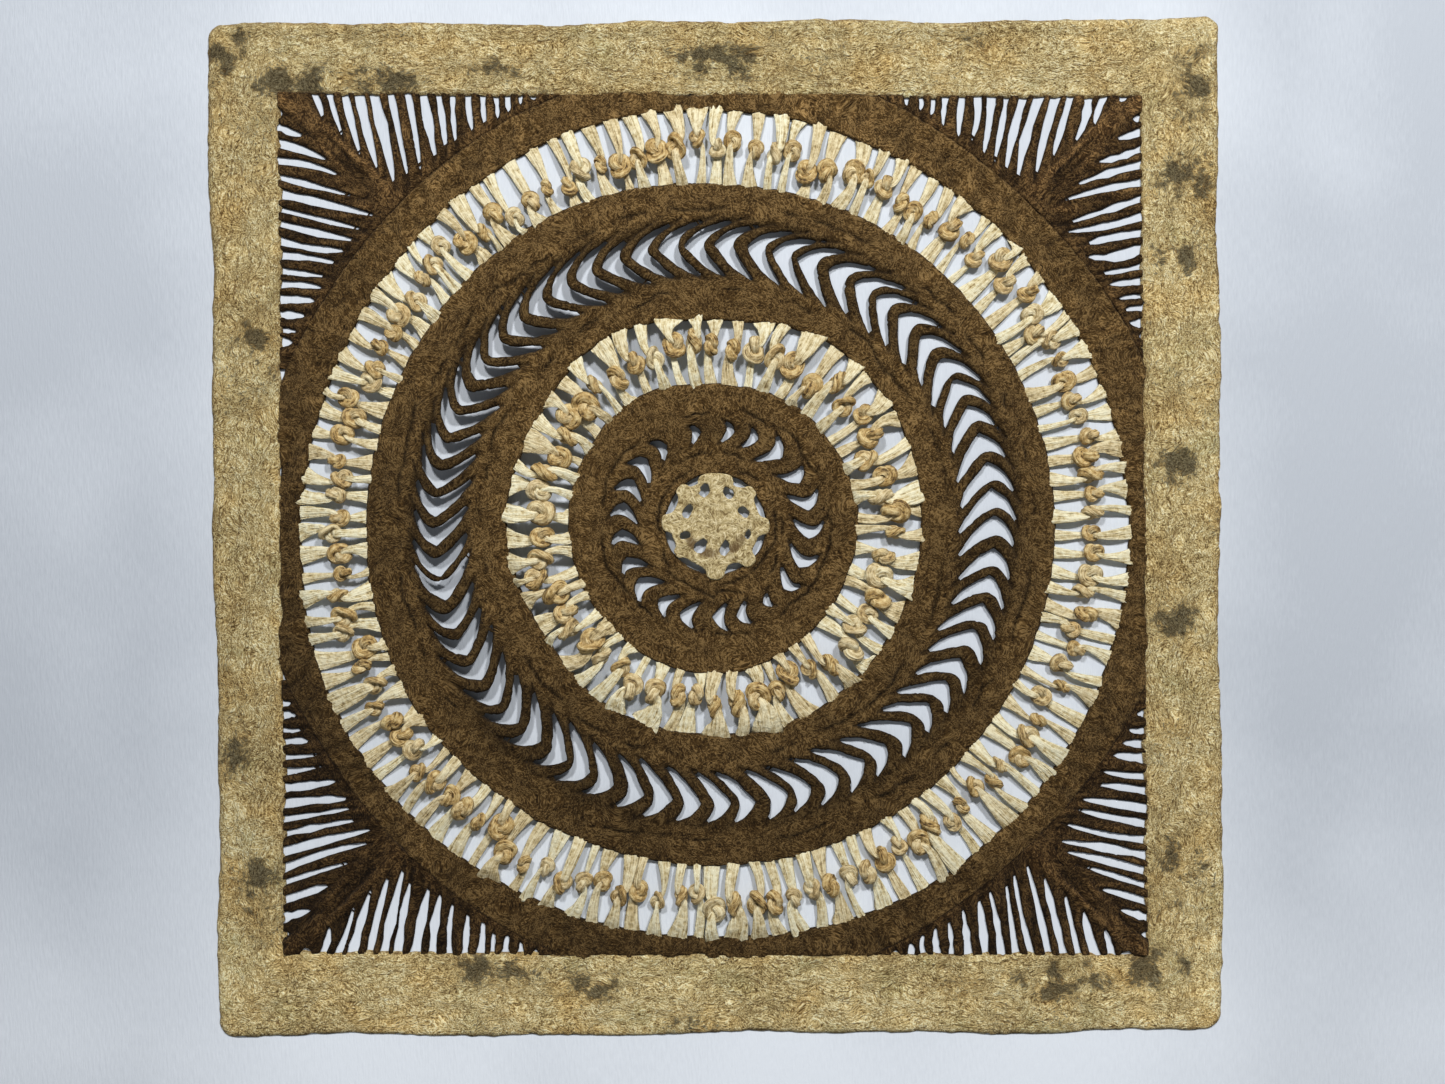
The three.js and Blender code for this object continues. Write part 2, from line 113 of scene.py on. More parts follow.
# The sprays: how far their leaflets reach along the border and in from it, how far apart they
# are, and the gaps' share of that.
SPRAY_REACH = 152
LEAFLET_REACH = 160
LEAFLET_PITCH = (8.4, 10.6)
LEAFLET_GAP = (0.34, 0.62)

# The rosette: heading, half width at the tip and reach of each tab, then the waist between two
# tabs, then heading, radius and half width of each hole, and a dark strap's radius.
TABS = (
    (0, 9.0, 31.5), (47, 3.5, 31), (92, 4.5, 32.5), (137, 4.0, 32.5),
    (180, 5.0, 33), (232, 3.0, 30), (272, 4.6, 32), (316, 3.6, 31),
)
WAIST = (24.5, 26.5)
HOLES = (
    (-18, 21, 3.6), (22, 20, 3.4), (66, 18, 3.2), (108, 20, 2.2),
    (158, 15, 3.6), (214, 15, 4.0), (250, 19, 2.8), (296, 18, 3.6),
)
STRAP_RADIUS = 17.5

# The two courses of knotted strips.
OUTER_STRIPS, OUTER_KNOTS = 122, 223.5
INNER_STRIPS, INNER_KNOTS = 54, 104.0

# Each sheet of paper: the step of its grid, its thickness and how far in its rolled rim reaches.
PAPER = {
    "border": (1.9, 2.1, 3.0),
    "outer ring": (1.15, 2.3, 1.3),
    "spray": (0.9, 1.9, 1.1),
    "chevron band": (1.25, 2.5, 1.3),
    "disc": (0.95, 2.5, 1.2),
    "rosette": (0.6, 1.1, 1.0),
}

# Dark patches of bark in the border's paper: place, half length and half width.
STAINS = {
    "top left corner": (-290, 282, 9, 14),
    "top left, inner edge": (-250, 262, 22, 8),
    "top, second": (-200, 262, 16, 7),
    "top, third": (-128, 270, 16, 5),
    "top middle": (2, 274, 20, 9),
    "top right": (146, 286, 10, 4),
    "right, high": (283, 262, 9, 16),
    "right, second": (278, 205, 12, 12),
    "right, third": (272, 160, 10, 9),
    "right, middle": (274, 34, 9, 8),
    "right, under middle": (272, -58, 9, 9),
    "right, low": (276, -205, 12, 16),
    "left, second": (-272, 100, 7, 18),
    "left, third": (-284, -134, 8, 12),
    "left, low": (-270, -217, 9, 13),
    "bottom, left": (-128, -264, 18, 7),
    "bottom, second": (-74, -274, 14, 7),
    "bottom, middle": (-16, -299, 12, 6),
    "bottom, right": (202, -270, 22, 9),
    "bottom right corner": (262, -262, 14, 9),
}

# Colours in linear red, green and blue. A paper's colours go with levels of its noise, from its
# darkest fibres to its lightest.
BROWN_LEVELS = (0.71, 0.925, 1.07)
BROWN = ((0.013, 0.007, 0.0022), (0.1, 0.056, 0.0178), (0.25, 0.157, 0.06))
DARK_BROWN = ((0.009, 0.0045, 0.0018), (0.058, 0.031, 0.0109), (0.18, 0.106, 0.04))
TAN = (
    (0.74, (0.1, 0.06, 0.02)), (0.86, (0.46, 0.34, 0.145)),
    (0.95, (0.74, 0.61, 0.305)), (1.07, (0.9, 0.83, 0.54)),
)
# Painted shade in the border's fold lines.
TAN_FOLD_SHADE = (0.17, 0.1, 0.035)
TAN_EDGE = (0.2, 0.115, 0.042)
OCHRE_TINT = (1.06, 0.88, 0.62)
GREEN_TINT = (0.7, 0.74, 0.68)
BARK = ((0.38, (0.014, 0.011, 0.007)), (0.66, (0.16, 0.13, 0.07)))
# The pale strips' palest stop is partly a painted highlight and their darkest partly painted shade in
# grooves, over their own straw colour.
PALE_STRIP = ((0.5, (0.27, 0.18, 0.065)), (0.6, (0.68, 0.565, 0.3)), (0.74, (0.93, 0.88, 0.63)))
GOLD_STRIP = ((0.54, (0.07, 0.036, 0.01)), (0.65, (0.47, 0.3, 0.1)), (0.8, (0.82, 0.655, 0.33)))
ROSETTE = ((0.62, (0.17, 0.115, 0.045)), (0.78, (0.5, 0.4, 0.2)), (0.95, (0.8, 0.7, 0.45)))
STRAP = (0.11, 0.065, 0.028)
FLOOR = ((0.1, (0.5, 0.545, 0.61)), (0.9, (0.86, 0.92, 1.0)))
SKY = (0.86, 0.92, 1.0, 1)
LAMP = (1.0, 0.985, 0.965)


def smooth(t):
    t = np.clip(t, 0, 1)
    return t * t * (3 - 2 * t)


def mix(a, b, t):
    return a + (b - a) * t


# Seeded noise

def noise(x, y, cell, seed):
    """Smooth noise from -1 to 1, with features of about cell millimetres."""
    size = 256
    table = np.random.default_rng(seed).uniform(-1, 1, (size, size))
    u, v = x / cell + 500, y / cell + 500
    i, j = np.floor(u).astype(int), np.floor(v).astype(int)
    s, t = smooth(u - i), smooth(v - j)

    def corner(a, b):
        return table[(i + a) % size, (j + b) % size]

    return mix(mix(corner(0, 0), corner(1, 0), s), mix(corner(0, 1), corner(1, 1), s), t)


def layered_noise(x, y, cell, seed, layers=3):
    """Noise with finer and weaker layers added, each with half the cell of the one before."""
    total = sum(0.55 ** k * noise(x, y, cell / 2 ** k, seed + k) for k in range(layers))
    return total / sum(0.55 ** k for k in range(layers))


# The panel's outlines

def joint_radius(name, heading):
    """A wavy joint's radius at a heading, on a smooth curve through its row."""
    rows = np.array(JOINT_RADII[name])
    place = np.asarray(heading) / TURN * len(rows)
    start = np.floor(place).astype(int)
    t = place - start
    a, b, c, d = (rows[(start + k) % len(rows)] for k in (-1, 0, 1, 2))
    return 0.5 * (2 * b + (c - a) * t + (2 * a - 5 * b + 4 * c - d) * t ** 2
                  + (3 * b - a - 3 * c + d) * t ** 3)


def ring_outer_radius(heading):
    side = 0.5 + 0.5 * np.cos(4 * heading)
    return mix(RING_OUT_CORNER, RING_OUT_SIDE, side) + 0.8 * np.sin(7 * heading)


def ragged(side, t):
    """How far the panel's outer edge stands out along one side, as in the solid."""
    long_wave = 0.9 * np.sin(TURN * (2.3 * t + 0.37 * side))
    short_wave = 0.6 * np.sin(TURN * (5.2 * t + 0.61 * side))
    return np.where(t > 0, long_wave + short_wave, 0)


def inside_square(x, y, corners, corner_radius, wavy):
    """Distance in from the sides of a clockwise square, negative outside."""
    sides = []
    for side in range(4):
        a, b = corners[side], corners[(side + 1) % 4]
        along = (b - a) / np.linalg.norm(b - a)
        depth = (x - a[0]) * along[1] - (y - a[1]) * along[0]
        if wavy:
            place = ((x - a[0]) * along[0] + (y - a[1]) * along[1]) / np.linalg.norm(b - a)
            depth = depth + ragged(side, np.clip(place, 0, 1))
        sides.append(depth)
    distance = np.minimum.reduce(sides)
    for side in range(4):
        d, e = sides[side], sides[side - 1]
        rounded = corner_radius - np.hypot(corner_radius - d, corner_radius - e)
        near = (d < corner_radius) & (e < corner_radius)
        distance = np.where(near, np.minimum(distance, rounded), distance)
    return distance


def outline_distance(x, y, points):
    """Distance from a closed outline, negative inside it."""
    a, b = points, np.roll(points, -1, axis=0)
    ex, ey = (b - a).T
    px, py = x[..., None] - a[:, 0], y[..., None] - a[:, 1]
    t = np.clip((px * ex + py * ey) / (ex ** 2 + ey ** 2), 0, 1)
    distance = np.sqrt(np.min((px - t * ex) ** 2 + (py - t * ey) ** 2, axis=-1))
    spans = (a[:, 1] > y[..., None]) != (b[:, 1] > y[..., None])
    steep = np.where(ey == 0, 1e-9, ey)
    crossings = np.sum(spans & (px < py * ex / steep), axis=-1)
    return np.where(crossings % 2 == 1, -distance, distance)


def carve(distance, x, y, outlines, reach=5):
    """Cut outlines out of a region given by its distances on an even grid."""
    step = x[1, 0] - x[0, 0]
    for points in outlines:
        low = np.floor((points.min(0) - reach - (x[0, 0], y[0, 0])) / step).astype(int)
        high = np.ceil((points.max(0) + reach - (x[0, 0], y[0, 0])) / step).astype(int)
        block = tuple(slice(max(0, a), max(0, b)) for a, b in zip(low, high))
        if x[block].size:
            gap = outline_distance(x[block], y[block], points)
            distance[block] = np.minimum(distance[block], gap)
    return distance


def rounded(points, tips, rounds=2):
    """Soften an outline's corners, but not its tips."""
    points, tips = list(points), list(tips)
    for _ in range(rounds):
        eased, kept = [], []
        for k, point in enumerate(points):
            if tips[k]:
                eased.append(point)
                kept.append(True)
            else:
                after = points[(k + 1) % len(points)]
                eased += [mix(point, points[k - 1], 0.25), mix(point, after, 0.25)]
                kept += [False, False]
        points, tips = eased, kept
    return np.array(points)


def at_heading(radius, heading):
    return np.stack([radius * np.sin(heading), radius * np.cos(heading)], axis=-1)


def gap_outline(shape, heading, size, sweep, rng):
    """One gap's outline with its point at a heading, cut by hand, so a little uneven."""
    turns = np.array([turn for turn, _ in shape.values()])
    radii = np.array([radius for _, radius in shape.values()])
    tips = ["tip" in name or name == "point" for name in shape]
    middle = shape["crotch"][1]
    outward = np.maximum(0, (radii - middle) / (radii.max() - middle))
    turned = turns * size * (1 + sweep * outward)
    turned = turned + rng.normal(0, UNEVEN, len(turns)) * ARC_DEGREES / middle
    reach = middle + (radii - middle) * size * (1 + 0.3 * sweep * outward)
    reach = reach + rng.normal(0, UNEVEN, len(radii))
    return rounded(at_heading(reach, np.radians(heading + turned)), tips)


def chevron_gaps(rng):
    outlines = []
    for i in range(CHEVRONS):
        heading = 360 / CHEVRONS * (i + rng.uniform(-0.09, 0.09))
        sweep = SWEEP * math.cos(math.radians(heading - SWEEP_HEADING))
        outlines.append(gap_outline(CHEVRON_GAP, heading, rng.uniform(0.94, 1.04), sweep, rng))
    return outlines


# Meshes

def lace_centre():
    """Where the lace's centre lies in the part's frame, whose origin is the middle of the back."""
    reach = []
    for side in range(4):
        a, b = OUTLINE[side], OUTLINE[(side + 1) % 4]
        along = (b - a) / SHEET_SIDE
        places = np.array(EDGE_POINTS)
        points = a + (b - a) * places[:, None]
        reach.append(points + ragged(side, places)[:, None] * np.array([-along[1], along[0]]))
    reach = np.concatenate(reach)
    return -(reach.min(0) + reach.max(0)) / 2


CENTRE = lace_centre()


def rise(x, y):
    """How far the lace stands off the surface, as in the solids."""
    towards = at_heading(1, math.radians(RISE_HEADING))
    past = x * towards[0] + y * towards[1] - RISE_FROM
    share = mix(RISE_LEAST, RISE_MOST, 0.5 + 0.5 * np.tanh(past / RISE_OVER))
    radius = np.hypot(x, y)
    sagged = 1 - SAG_SHARE * np.exp(-((radius / SAG_RADIUS) ** 4))
    return LACE_RISE * share * sagged * np.maximum(0, 1 - (radius / RISE_RADIUS) ** 2)


def add_object(name, data):
    made = bpy.data.objects.new(name, data)
    bpy.context.scene.collection.objects.link(made)
    return made


def make_object(name, points, faces, material, attributes):
    """A smooth-shaded object from points in millimetres and blocks of triangles or quads."""
    mesh = bpy.data.meshes.new(name)
    placed = np.array(points, dtype=float)
    placed[:, :2] += CENTRE
    mesh.vertices.add(len(placed))
    mesh.vertices.foreach_set("co", (placed / 1000).ravel())
    corners = np.concatenate([block.ravel() for block in faces])
    sizes = np.concatenate([np.full(len(block), block.shape[1]) for block in faces])
    mesh.loops.add(len(corners))
    mesh.loops.foreach_set("vertex_index", corners.astype(np.int32))
    mesh.polygons.add(len(sizes))
    starts = np.concatenate([[0], np.cumsum(sizes)[:-1]])
    mesh.polygons.foreach_set("loop_start", starts.astype(np.int32))
    mesh.polygons.foreach_set("use_smooth", np.ones(len(sizes), dtype=bool))
    mesh.update(calc_edges=True)
    for label, values in attributes.items():
        kind, field = ("FLOAT_VECTOR", "vector") if values.ndim == 2 else ("FLOAT", "value")
        layer = mesh.attributes.new(label, kind, "POINT")
        layer.data.foreach_set(field, values.astype(np.float32).ravel())
    mesh.materials.append(material)
    return add_object(name, mesh)


def largest_part(triangles, count):
    """The triangles of the largest connected part."""
    label = np.arange(count)
    while True:
        low = label[triangles].min(1)
        after = label.copy()
        np.minimum.at(after, triangles.ravel(), np.repeat(low, 3))
        after = after[after]
        if np.array_equal(after, label):
            break
        label = after
    part = label[triangles[:, 0]]
    values, counts = np.unique(part, return_counts=True)
    return triangles[part == values[counts.argmax()]]


def felted_paper(name, region, box, paper, relief, material, extra, base=rise):
    """A closed sheet with a smooth back, an uneven face and rolled edges, cut to a region."""
    step, thickness, roll = paper
    (x0, y0), (x1, y1) = box
    x, y = np.meshgrid(np.arange(x0, x1, step), np.arange(y0, y1, step), indexing="ij")
    depth = region(x, y)
    gx, gy = np.gradient(depth, step)
    slope = np.maximum(gx ** 2 + gy ** 2, 0.3)
    # Points near the region's edge are moved onto it.
    near = np.abs(depth) < 0.5 * step
    x = np.where(near, x - depth * gx / slope, x)
    y = np.where(near, y - depth * gy / slope, y)
    depth = np.where(near, 0, depth)

    index = np.arange(x.size).reshape(x.shape)
    a, b, c, d = index[:-1, :-1], index[1:, :-1], index[1:, 1:], index[:-1, 1:]
    flat = depth.ravel()
    split = np.abs(flat[a]) + np.abs(flat[c]) < np.abs(flat[b]) + np.abs(flat[d])
    one = np.where(split[..., None], np.stack([a, b, c], -1), np.stack([a, b, d], -1))
    two = np.where(split[..., None], np.stack([a, c, d], -1), np.stack([b, c, d], -1))
    triangles = np.concatenate([one.reshape(-1, 3), two.reshape(-1, 3)])
    triangles = triangles[(flat[triangles] >= 0).all(1)]
    px, py = x.ravel()[triangles].T, y.ravel()[triangles].T
    area = (px[1] - px[0]) * (py[2] - py[0]) - (px[2] - px[0]) * (py[1] - py[0])
    sliver = 0.04 * step ** 2
    triangles = largest_part(triangles[area > sliver], x.size)

    used, triangles = np.unique(triangles, return_inverse=True)
    triangles = triangles.reshape(-1, 3)
    x, y, depth = x.ravel()[used], y.ravel()[used], flat[used]
    count = len(used)
    edges = np.concatenate([triangles[:, [0, 1]], triangles[:, [1, 2]], triangles[:, [2, 0]]])
    codes = edges[:, 0] * count + edges[:, 1]
    rim = edges[~np.isin(codes, edges[:, 1] * count + edges[:, 0])]

    inward = 1 - np.minimum(depth / roll, 1)
    profile = np.sqrt(1 - inward ** 2)
    back = base(x, y) + 0.12 * thickness * (1 - profile)
    face = back + thickness * (0.3 + 0.7 * profile) + relief(x, y) * (0.25 + 0.75 * profile)
    points = np.concatenate([np.stack([x, y, face], 1), np.stack([x, y, back], 1)])
    walls = np.stack([rim[:, 0], rim[:, 0] + count, rim[:, 1] + count, rim[:, 1]], 1)
    fields = {"edge": depth, **extra(x, y)}
    attributes = {key: np.tile(value, 2) for key, value in fields.items()}
    faces = [triangles, triangles[:, ::-1] + count, walls]
    return make_object(name, points, faces, material, attributes)


# Materials

class Shader:
    """A node material built from its fields up."""

    def __init__(self, name):
        self.material = bpy.data.materials.new(name)
        self.material.use_nodes = True
        self.tree = self.material.node_tree
        self.surface = next(n for n in self.tree.nodes if n.type == "BSDF_PRINCIPLED")
        where = self.node("ShaderNodeTexCoord").outputs["Object"]
        self.place = self.vector("SCALE", where, scale=1000)

    def node(self, kind, inputs=None, **properties):
        made = self.tree.nodes.new(kind)
        for key, value in properties.items():
            setattr(made, key, value)
        for key, value in (inputs or {}).items():
            if isinstance(value, bpy.types.NodeSocket):
                self.tree.links.new(value, made.inputs[key])
            else:
                made.inputs[key].default_value = value
        return made

    def vector(self, operation, first, second=(0, 0, 0), scale=1.0):
        inputs = {0: first, 1: second, 3: scale}
        return self.node("ShaderNodeVectorMath", inputs, operation=operation).outputs[0]

    def maths(self, operation, first, second=0.5):
        return self.node("ShaderNodeMath", {0: first, 1: second}, operation=operation).outputs[0]

    def total(self, *terms):
        """The sum of some values, each times its weight."""
        sums = [self.maths("MULTIPLY", value, weight) for value, weight in terms]
        whole = sums[0]
        for part in sums[1:]:
            whole = self.maths("ADD", whole, part)
        return whole

    def fade(self, value, start, end, first, last):
        inputs = {"Value": value, "From Min": start, "From Max": end, "To Min": first, "To Max": last}
        return self.node("ShaderNodeMapRange", inputs).outputs[0]

    def field(self, name, output="Fac"):
        return self.node("ShaderNodeAttribute", attribute_name=name).outputs[output]

    def noise(self, vector, cell, detail=2.0, rough=0.55):
        inputs = {"Vector": vector, "Scale": 1 / cell, "Detail": detail, "Roughness": rough}
        return self.node("ShaderNodeTexNoise", inputs).outputs["Fac"]

    def curls(self, vector, cell, width):
        """Thin curly lines: 1 along them, 0 beside them."""
        height = self.noise(vector, cell, 2.0)
        away = self.maths("ABSOLUTE", self.maths("SUBTRACT", height, 0.5))
        return self.fade(away, 0.0, width, 1.0, 0.0)

    def stretched(self, vector, turn, shape):
        inputs = {"Vector": vector, "Rotation": (0, 0, math.radians(turn)), "Scale": shape}
        return self.node("ShaderNodeMapping", inputs, vector_type="TEXTURE").outputs["Vector"]

    def swirl(self, cell, reach):
        inputs = {"Vector": self.place, "Scale": 1 / cell, "Detail": 1.0}
        drift = self.node("ShaderNodeTexNoise", inputs).outputs["Color"]
        return self.vector("ADD", self.place, self.vector("SCALE", drift, scale=reach))

    def ramp(self, value, stops):
        made = self.node("ShaderNodeValToRGB", {"Fac": value})
        elements = made.color_ramp.elements
        while len(elements) < len(stops):
            elements.new(0.5)
        for element, (place, colour) in zip(elements, stops):
            element.position = place
            element.color = (*colour, 1)
        return made.outputs["Color"]

    def blend(self, amount, first, second, mode="MIX"):
        first, second = ((*colour, 1) if isinstance(colour, tuple) else colour
                         for colour in (first, second))
        inputs = {0: amount, 6: first, 7: second}
        return self.node("ShaderNodeMix", inputs, data_type="RGBA", blend_type=mode).outputs[2]

    def finish(self, colour, height, depth, roughness, sheen=0.0, specular=0.25):
        self.tree.links.new(colour, self.surface.inputs["Base Color"])
        bump = self.node("ShaderNodeBump", {"Height": height, "Strength": 0.9, "Distance": depth})
        self.tree.links.new(bump.outputs["Normal"], self.surface.inputs["Normal"])
        self.surface.inputs["Roughness"].default_value = roughness
        self.surface.inputs["Specular IOR Level"].default_value = specular
        self.surface.inputs["Sheen Weight"].default_value = sheen
        return self.material


def fibres(shader, cell, length, turns, swirl):
    """Crossing layers of short fibres: the highest one shows."""
    layers = []
    for k, turn in enumerate(turns):
        moved = shader.vector("ADD", swirl, (17.3 * k, 5.1 * k, 3.7 * k))
        run = shader.stretched(moved, turn, (1, length / cell, 1))
        layers.append(shader.noise(run, cell, 1.0))
    total = layers[0]
    for layer in layers[1:]:
        total = shader.maths("MAXIMUM", total, layer)
    return total


def brown_material(name, colours):
    shader = Shader(name)
    swirl = shader.swirl(22, 20)
    fine = shader.noise(swirl, 1.1, 3.0, 0.75)
    hairs = fibres(shader, 0.8, 4.5, (25, 85, 145), swirl)
    coarse = shader.noise(swirl, 6.0, 3.0, 0.6)
    knurls = shader.curls(swirl, 2.6, 0.035)
    level = shader.total((fine, 0.7), (hairs, 0.7), (coarse, 0.35), (knurls, -0.06))
    colour = shader.ramp(level, list(zip(BROWN_LEVELS, colours)))
    tone = shader.field("tone")
    colour = shader.blend(1.0, colour, tone, "MULTIPLY")
    # Broken crack lines dent the bump and carry painted shade in them.
    broken = shader.fade(shader.noise(shader.place, 9, 2.0), 0.45, 0.6, 0.0, 0.75)
    cracks_and_shade = shader.maths("MULTIPLY", shader.curls(swirl, 8, 0.014), broken)
    rim = shader.fade(shader.field("edge"), 0.2, 1.3, 0.65, 0.0)
    colour = shader.blend(shader.maths("MAXIMUM", cracks_and_shade, rim), colour, colours[0])
    height = shader.total((level, 1.0), (cracks_and_shade, -0.25))
    return shader.finish(colour, height, 0.0024, 0.95, sheen=0.03, specular=0.08)


def tan_material():
    shader = Shader("tan_paper")
    swirl = shader.swirl(18, 14)
    upright = fibres(shader, 0.85, 5.0, (0, 22, -22), swirl)
    level_fibres = fibres(shader, 0.85, 5.0, (90, 112, 68), swirl)
    sides = shader.field("sides")
    run = shader.node("ShaderNodeMix", {0: sides, 2: level_fibres, 3: upright}).outputs[0]
    fine = shader.noise(swirl, 1.0, 3.0, 0.75)
    lumps = shader.noise(swirl, 4.5, 3.0, 0.65)
    patches = shader.noise(shader.place, 55, 3.0)
    curls = shader.curls(swirl, 3.2, 0.025)
    level = shader.total((run, 0.55), (fine, 0.7), (lumps, 0.25), (patches, 0.2), (curls, -0.06))
    colour = shader.ramp(level, TAN)
    # Fold lines dent the bump and carry painted shade along them.
    level_folds = shader.curls(shader.stretched(swirl, 90, (1, 6, 1)), 7, 0.014)
    upright_folds = shader.curls(shader.stretched(swirl, 0, (1, 6, 1)), 7, 0.014)
    folds_and_shade = shader.node("ShaderNodeMix", {0: sides, 2: level_folds, 3: upright_folds}).outputs[0]
    folds_and_shade = shader.maths("MULTIPLY", folds_and_shade, shader.fade(lumps, 0.36, 0.5, 0.15, 0.8))
    colour = shader.blend(folds_and_shade, colour, TAN_FOLD_SHADE)
    # Ochre and grey-green areas, then dark bark in ragged patches, and an ochre outer edge.
    area = shader.noise(shader.vector("ADD", shader.place, (300, 80, 0)), 34, 3.0, 0.6)
    for tint, start, end in ((OCHRE_TINT, 0.48, 0.66), (GREEN_TINT, 0.43, 0.33)):
        tinted = shader.blend(1.0, colour, tint, "MULTIPLY")
        colour = shader.blend(shader.fade(area, start, end, 0.0, 0.5), colour, tinted)
    speckle = shader.noise(swirl, 3.2, 5.0, 0.7)
    stain = shader.field("stain")
    stain = shader.total((stain, 1.2), (run, 2.0), (fine, 1.6), (speckle, 2.4))
    bark = shader.ramp(fine, BARK)
    colour = shader.blend(shader.fade(stain, 3.82, 4.1, 0.0, 0.88), colour, bark)
    colour = shader.blend(1.0, colour, shader.field("tone"), "MULTIPLY")
    rim = shader.fade(shader.field("edge"), 0.3, 2.4, 1.0, 0.0)
    rim = shader.maths("MULTIPLY", rim, shader.fade(speckle, 0.4, 0.62, 0.05, 0.7))
    colour = shader.blend(rim, colour, TAN_EDGE)
    height = shader.total((level, 1.0), (lumps, 0.5), (folds_and_shade, -0.3))
    return shader.finish(colour, height, 0.0024, 0.93, sheen=0.03, specular=0.12)


def cream_material():
    shader = Shader("cream_strips")
    run = shader.field("fibre", "Vector")
    fine = shader.noise(run, 0.6, 2.0, 0.65)
    broad = shader.noise(run, 1.7, 2.0)
    crumple = shader.noise(shader.place, 3.0, 3.0, 0.65)
    level = shader.total((fine, 0.45), (broad, 0.4), (crumple, 0.5))
    # The pale ramp's palest stop is partly a painted highlight and its darkest partly painted shade in
    # the grooves.
    pale = shader.ramp(level, PALE_STRIP)
    gold = shader.ramp(level, GOLD_STRIP)
    colour = shader.blend(shader.field("knot"), pale, gold)
    return shader.finish(colour, level, 0.0023, 0.6, sheen=0.03, specular=0.35)


def rosette_material():
    shader = Shader("rosette_paper")
    swirl = shader.swirl(14, 10)
    fine = fibres(shader, 0.9, 5.0, (15, 75, 130), swirl)
    coarse = shader.noise(swirl, 4.0, 3.0, 0.6)
    level = shader.total((fine, 0.9), (coarse, 0.5))
    colour = shader.ramp(level, ROSETTE)
    colour = shader.blend(shader.field("stain"), colour, STRAP)
    return shader.finish(colour, level, 0.0009, 0.9, sheen=0.04, specular=0.15)


# The pieces of felted paper

def polar_of(x, y):
    return np.hypot(x, y), np.arctan2(x, y)


def brown_relief(x, y):
    return 0.55 * layered_noise(x, y, 11, 21) + 0.45 * layered_noise(x, y, 5, 31, 2)


def brown_tone(x, y):
    """The brown is paler towards the top and in the disc, and darker at the left."""
    leftward = smooth((-x - 150) / 110)
    on_disc = smooth((100 - np.hypot(x, y)) / 20)
    patches = 0.2 * layered_noise(x, y, 60, 23)
    return 0.95 + 0.2 * y / 250 + 0.07 * on_disc - 0.28 * leftward + patches


def crease(x, y, radius, seed):
    """How deep a broken crease round the lace runs, from 0 to 1."""
    r, h = polar_of(x, y)
    along, level = h * radius, np.zeros_like(h)
    drift = 2.4 * noise(along, level, 16, seed) + 0.8 * noise(along, level, 4, seed + 1)
    broken = smooth(0.45 + 1.3 * noise(along, level, 11, seed + 2))
    return np.exp(-(r - radius - drift) ** 2) * broken


def creased(radii, seed, pierced, darker):
    """Relief and tone of brown paper creased round the lace, with painted shade in each crease, darker
    where it is pierced.
    """
    def depth_of(x, y):
        return sum(crease(x, y, radius, seed + 10 * k) for k, radius in enumerate(radii))

    def relief(x, y):
        return brown_relief(x, y) - 0.9 * depth_of(x, y)

    def extra(x, y):
        r = np.hypot(x, y) + 3 * noise(x, y, 12, seed + 5)
        bars = smooth((r - pierced[0]) / 5) * smooth((pierced[1] - r) / 5)
        # Painted shade along each crease: the tone darkens where one runs.
        crease_shade = np.minimum(1, depth_of(x, y))
        return {"tone": brown_tone(x, y) * (1 - darker * bars) * (1 - 0.85 * crease_shade)}

    return relief, extra


def make_border(material):
    def region(x, y):
        outer_fray = 0.9 * layered_noise(x, y, 10, 3) + 0.3 * noise(x, y, 4, 4)
        inner_fray = 2.1 * layered_noise(x, y, 13, 5) + 0.5 * noise(x, y, 3, 6)
        outer = inside_square(x, y, OUTLINE, 9, True) + outer_fray
        inner = inner_fray - inside_square(x, y, OPENING, 0.5, False)
        return np.minimum(outer, inner)

    def relief(x, y):
        outer = inside_square(x, y, OUTLINE, 9, True)
        folded = 0.15 + 0.85 * smooth((y - x) / 120 + 0.5)
        fold = 0.7 * np.exp(-((outer - 4.5) / 3.5) ** 2) - 0.5 * np.exp(-((outer - 10) / 1.5) ** 2)
        upright = np.abs(x) > np.abs(y)
        long, cross = np.where(upright, y, x), np.where(upright, x, y)
        dashes = noise(cross, long / 3.2, 2.6, 7)
        lumps = 0.5 * layered_noise(x, y, 14, 9) + 0.3 * noise(x, y, 4, 10)
        return fold * folded + 0.45 * dashes + lumps

    def extra(x, y):
        stain = np.zeros_like(x)
        torn = 0.85 + 1.6 * layered_noise(x, y, 10, 12, 4)
        for across, up, half_x, half_y in STAINS.values():
            spread = ((x - across) / half_x) ** 2 + ((y - up) / half_y) ** 2
            stain = np.maximum(stain, np.exp(-0.4 * spread) * torn)
        faint = 0.4 * smooth((layered_noise(x, y, 34, 14) - 0.1) * 3)
        sides = smooth(0.5 + (np.abs(x) - np.abs(y)) / 60)
        tone = 1 + 0.26 * smooth((-y - 180) / 90) + 0.13 * smooth((x - 200) / 70)
        return {"stain": np.clip(np.maximum(stain, faint), 0, 1.4), "sides": sides, "tone": tone}

    def laid_flat(x, y):
        return np.zeros_like(x)

    box = ((-306, -309), (306, 306))
    return felted_paper("border_paper", region, box, PAPER["border"], relief, material, extra, laid_flat)


